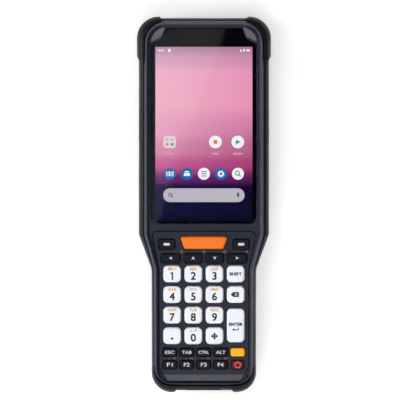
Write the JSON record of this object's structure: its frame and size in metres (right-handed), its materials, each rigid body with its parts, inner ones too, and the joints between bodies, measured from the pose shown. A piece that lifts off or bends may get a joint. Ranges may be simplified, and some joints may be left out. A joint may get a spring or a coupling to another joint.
{
  "type": "handheld barcode data terminal",
  "caption": "Rugged handheld data terminal with a touch display over a numeric keypad, an end-mounted barcode scanner and a removable battery.",
  "frame": {"origin": "centre of the bounding box's underside, on the surface that the terminal lies on, display up", "axes": "+X across the terminal to its right-hand side, +Y along it to the scanner end, +Z out of the display"},
  "size_m": [0.0714, 0.2, 0.032],
  "materials": {
    "housing_plastic": "fine-textured moulded polycarbonate and ABS",
    "bumper_rubber": "matt overmoulded rubber",
    "cover_glass": "polished cover glass with a black printed border",
    "display_panel": "lit colour display behind the glass",
    "lens_plastic": "smoke-tinted translucent light guide",
    "panel_plastic": "satin keypad panel",
    "keypad_silicone": "silicone key mat",
    "circuit_board": "solder-masked glass-fibre board",
    "dome_steel": "stamped spring steel",
    "shield_steel": "tinned sheet steel",
    "engine_housing": "black moulded plastic",
    "scan_window_tint": "red-tinted acrylic window",
    "camera_glass": "small flat cover glass",
    "contact_gold": "gold-plated contact blades",
    "screw_steel": "black-oxide screws",
    "insert_brass": "knurled brass inserts",
    "battery_plastic": "fine-textured moulded case",
    "trigger_rubber": "matt moulded rubber",
    "key_orange": "satin orange key",
    "key_yellow": "satin yellow key",
    "key_red": "dark red key",
    "key_white": "satin white key",
    "key_black": "satin black key"
  },
  "bodies": {
    "terminal": {"front_housing": "housing_plastic", "rear_housing": "housing_plastic", "bumper_frame": "bumper_rubber", "display_glass": "cover_glass", "display_module": "display_panel", "indicator_lenses": "lens_plastic", "keypad_panel": "panel_plastic", "keypad_mat": "keypad_silicone", "keypad_board": "circuit_board", "dome_switches": "dome_steel", "main_board": "circuit_board", "shield_cans": "shield_steel", "scan_engine": "engine_housing", "scan_window": "scan_window_tint", "rear_camera": "engine_housing", "camera_window": "camera_glass", "speaker": "engine_housing", "usb_connector": "shield_steel", "battery_catches": "dome_steel", "battery_contacts": "contact_gold", "side_switches": "shield_steel", "housing_screws": "screw_steel", "strap_inserts": "insert_brass"},
    "battery": {"battery_pack": "battery_plastic"},
    "port_cover": {"port_cover": "bumper_rubber"},
    "trigger_left": {"trigger_left": "trigger_rubber"},
    "trigger_right": {"trigger_right": "trigger_rubber"},
    "volume_rocker": {"volume_rocker": "trigger_rubber"},
    "key_scan": {"key_scan": "key_orange"},
    "key_1": {"key_1": "key_white"},
    "key_2": {"key_2": "key_white"},
    "key_3": {"key_3": "key_white"},
    "key_shift": {"key_shift": "key_white"},
    "key_4": {"key_4": "key_white"},
    "key_5": {"key_5": "key_white"},
    "key_6": {"key_6": "key_white"},
    "key_backspace": {"key_backspace": "key_white"},
    "key_7": {"key_7": "key_white"},
    "key_8": {"key_8": "key_white"},
    "key_9": {"key_9": "key_white"},
    "key_point": {"key_point": "key_white"},
    "key_0": {"key_0": "key_white"},
    "key_four_way": {"key_four_way": "key_white"},
    "key_enter": {"key_enter": "key_white"},
    "key_soft_left": {"key_soft_left": "key_black"},
    "key_soft_right": {"key_soft_right": "key_black"},
    "key_left": {"key_left": "key_black"},
    "key_up": {"key_up": "key_black"},
    "key_down": {"key_down": "key_black"},
    "key_right": {"key_right": "key_black"},
    "key_escape": {"key_escape": "key_black"},
    "key_tab": {"key_tab": "key_black"},
    "key_control": {"key_control": "key_black"},
    "key_alternate": {"key_alternate": "key_black"},
    "key_f1": {"key_f1": "key_black"},
    "key_f2": {"key_f2": "key_black"},
    "key_f3": {"key_f3": "key_black"},
    "key_f4": {"key_f4": "key_black"},
    "key_function": {"key_function": "key_yellow"},
    "key_power": {"key_power": "key_red"}
  },
  "joints": [
    {"name": "battery_slide", "type": "slide", "parent": "terminal", "child": "battery", "axis": [0, 0, -1], "range_m": [0, 0.03], "deforming": ["battery_catches"]},
    {"name": "port_cover_hinge", "type": "hinge", "parent": "terminal", "child": "port_cover", "pos_m": [-0.01, -0.0978, 0.02235], "axis": [0, 0, -1], "range_deg": [0, 110]},
    {"name": "key_scan_press", "type": "slide", "parent": "terminal", "child": "key_scan", "axis": [0, 0, -1], "range_m": [0, 0.0008], "stiffness_N_per_m": 1500},
    {"name": "trigger_left_press", "type": "slide", "parent": "terminal", "child": "trigger_left", "axis": [1, 0, 0], "range_m": [0, 0.0008], "stiffness_N_per_m": 1500},
    {"name": "trigger_right_press", "type": "slide", "parent": "terminal", "child": "trigger_right", "axis": [-1, 0, 0], "range_m": [0, 0.0008], "stiffness_N_per_m": 1500},
    {"name": "volume_rocker_tilt", "type": "hinge", "parent": "terminal", "child": "volume_rocker", "pos_m": [-0.031, 0.066, 0.021], "axis": [0, 0, 1], "range_deg": [-3, 3], "stiffness_Nm_per_rad": 0.3},
    {"name": "key_1_press", "type": "slide", "parent": "terminal", "child": "key_1", "axis": [0, 0, -1], "range_m": [0, 0.0008], "stiffness_N_per_m": 1200},
    {"name": "key_enter_press", "type": "slide", "parent": "terminal", "child": "key_enter", "axis": [0, 0, -1], "range_m": [0, 0.0008], "stiffness_N_per_m": 1200},
    {"name": "key_power_press", "type": "slide", "parent": "terminal", "child": "key_power", "axis": [0, 0, -1], "range_m": [0, 0.0008], "stiffness_N_per_m": 1200},
    {"name": "key_function_press", "type": "slide", "parent": "terminal", "child": "key_function", "axis": [0, 0, -1], "range_m": [0, 0.0008], "stiffness_N_per_m": 1200},
    {"name": "key_soft_left_press", "type": "slide", "parent": "terminal", "child": "key_soft_left", "axis": [0, 0, -1], "range_m": [0, 0.0008], "stiffness_N_per_m": 1200},
    {"name": "key_up_press", "type": "slide", "parent": "terminal", "child": "key_up", "axis": [0, 0, -1], "range_m": [0, 0.0008], "stiffness_N_per_m": 1200},
    {"name": "key_2_press", "type": "slide", "parent": "terminal", "child": "key_2", "axis": [0, 0, -1], "range_m": [0, 0.0008], "stiffness_N_per_m": 1200},
    {"name": "key_3_press", "type": "slide", "parent": "terminal", "child": "key_3", "axis": [0, 0, -1], "range_m": [0, 0.0008], "stiffness_N_per_m": 1200},
    {"name": "key_shift_press", "type": "slide", "parent": "terminal", "child": "key_shift", "axis": [0, 0, -1], "range_m": [0, 0.0008], "stiffness_N_per_m": 1200},
    {"name": "key_4_press", "type": "slide", "parent": "terminal", "child": "key_4", "axis": [0, 0, -1], "range_m": [0, 0.0008], "stiffness_N_per_m": 1200},
    {"name": "key_5_press", "type": "slide", "parent": "terminal", "child": "key_5", "axis": [0, 0, -1], "range_m": [0, 0.0008], "stiffness_N_per_m": 1200},
    {"name": "key_6_press", "type": "slide", "parent": "terminal", "child": "key_6", "axis": [0, 0, -1], "range_m": [0, 0.0008], "stiffness_N_per_m": 1200},
    {"name": "key_backspace_press", "type": "slide", "parent": "terminal", "child": "key_backspace", "axis": [0, 0, -1], "range_m": [0, 0.0008], "stiffness_N_per_m": 1200},
    {"name": "key_7_press", "type": "slide", "parent": "terminal", "child": "key_7", "axis": [0, 0, -1], "range_m": [0, 0.0008], "stiffness_N_per_m": 1200},
    {"name": "key_8_press", "type": "slide", "parent": "terminal", "child": "key_8", "axis": [0, 0, -1], "range_m": [0, 0.0008], "stiffness_N_per_m": 1200},
    {"name": "key_9_press", "type": "slide", "parent": "terminal", "child": "key_9", "axis": [0, 0, -1], "range_m": [0, 0.0008], "stiffness_N_per_m": 1200},
    {"name": "key_point_press", "type": "slide", "parent": "terminal", "child": "key_point", "axis": [0, 0, -1], "range_m": [0, 0.0008], "stiffness_N_per_m": 1200},
    {"name": "key_0_press", "type": "slide", "parent": "terminal", "child": "key_0", "axis": [0, 0, -1], "range_m": [0, 0.0008], "stiffness_N_per_m": 1200},
    {"name": "key_four_way_press", "type": "slide", "parent": "terminal", "child": "key_four_way", "axis": [0, 0, -1], "range_m": [0, 0.0008], "stiffness_N_per_m": 1200},
    {"name": "key_soft_right_press", "type": "slide", "parent": "terminal", "child": "key_soft_right", "axis": [0, 0, -1], "range_m": [0, 0.0008], "stiffness_N_per_m": 1200},
    {"name": "key_left_press", "type": "slide", "parent": "terminal", "child": "key_left", "axis": [0, 0, -1], "range_m": [0, 0.0008], "stiffness_N_per_m": 1200},
    {"name": "key_down_press", "type": "slide", "parent": "terminal", "child": "key_down", "axis": [0, 0, -1], "range_m": [0, 0.0008], "stiffness_N_per_m": 1200},
    {"name": "key_right_press", "type": "slide", "parent": "terminal", "child": "key_right", "axis": [0, 0, -1], "range_m": [0, 0.0008], "stiffness_N_per_m": 1200},
    {"name": "key_escape_press", "type": "slide", "parent": "terminal", "child": "key_escape", "axis": [0, 0, -1], "range_m": [0, 0.0008], "stiffness_N_per_m": 1200},
    {"name": "key_tab_press", "type": "slide", "parent": "terminal", "child": "key_tab", "axis": [0, 0, -1], "range_m": [0, 0.0008], "stiffness_N_per_m": 1200},
    {"name": "key_control_press", "type": "slide", "parent": "terminal", "child": "key_control", "axis": [0, 0, -1], "range_m": [0, 0.0008], "stiffness_N_per_m": 1200},
    {"name": "key_alternate_press", "type": "slide", "parent": "terminal", "child": "key_alternate", "axis": [0, 0, -1], "range_m": [0, 0.0008], "stiffness_N_per_m": 1200},
    {"name": "key_f1_press", "type": "slide", "parent": "terminal", "child": "key_f1", "axis": [0, 0, -1], "range_m": [0, 0.0008], "stiffness_N_per_m": 1200},
    {"name": "key_f2_press", "type": "slide", "parent": "terminal", "child": "key_f2", "axis": [0, 0, -1], "range_m": [0, 0.0008], "stiffness_N_per_m": 1200},
    {"name": "key_f3_press", "type": "slide", "parent": "terminal", "child": "key_f3", "axis": [0, 0, -1], "range_m": [0, 0.0008], "stiffness_N_per_m": 1200},
    {"name": "key_f4_press", "type": "slide", "parent": "terminal", "child": "key_f4", "axis": [0, 0, -1], "range_m": [0, 0.0008], "stiffness_N_per_m": 1200}
  ]
}
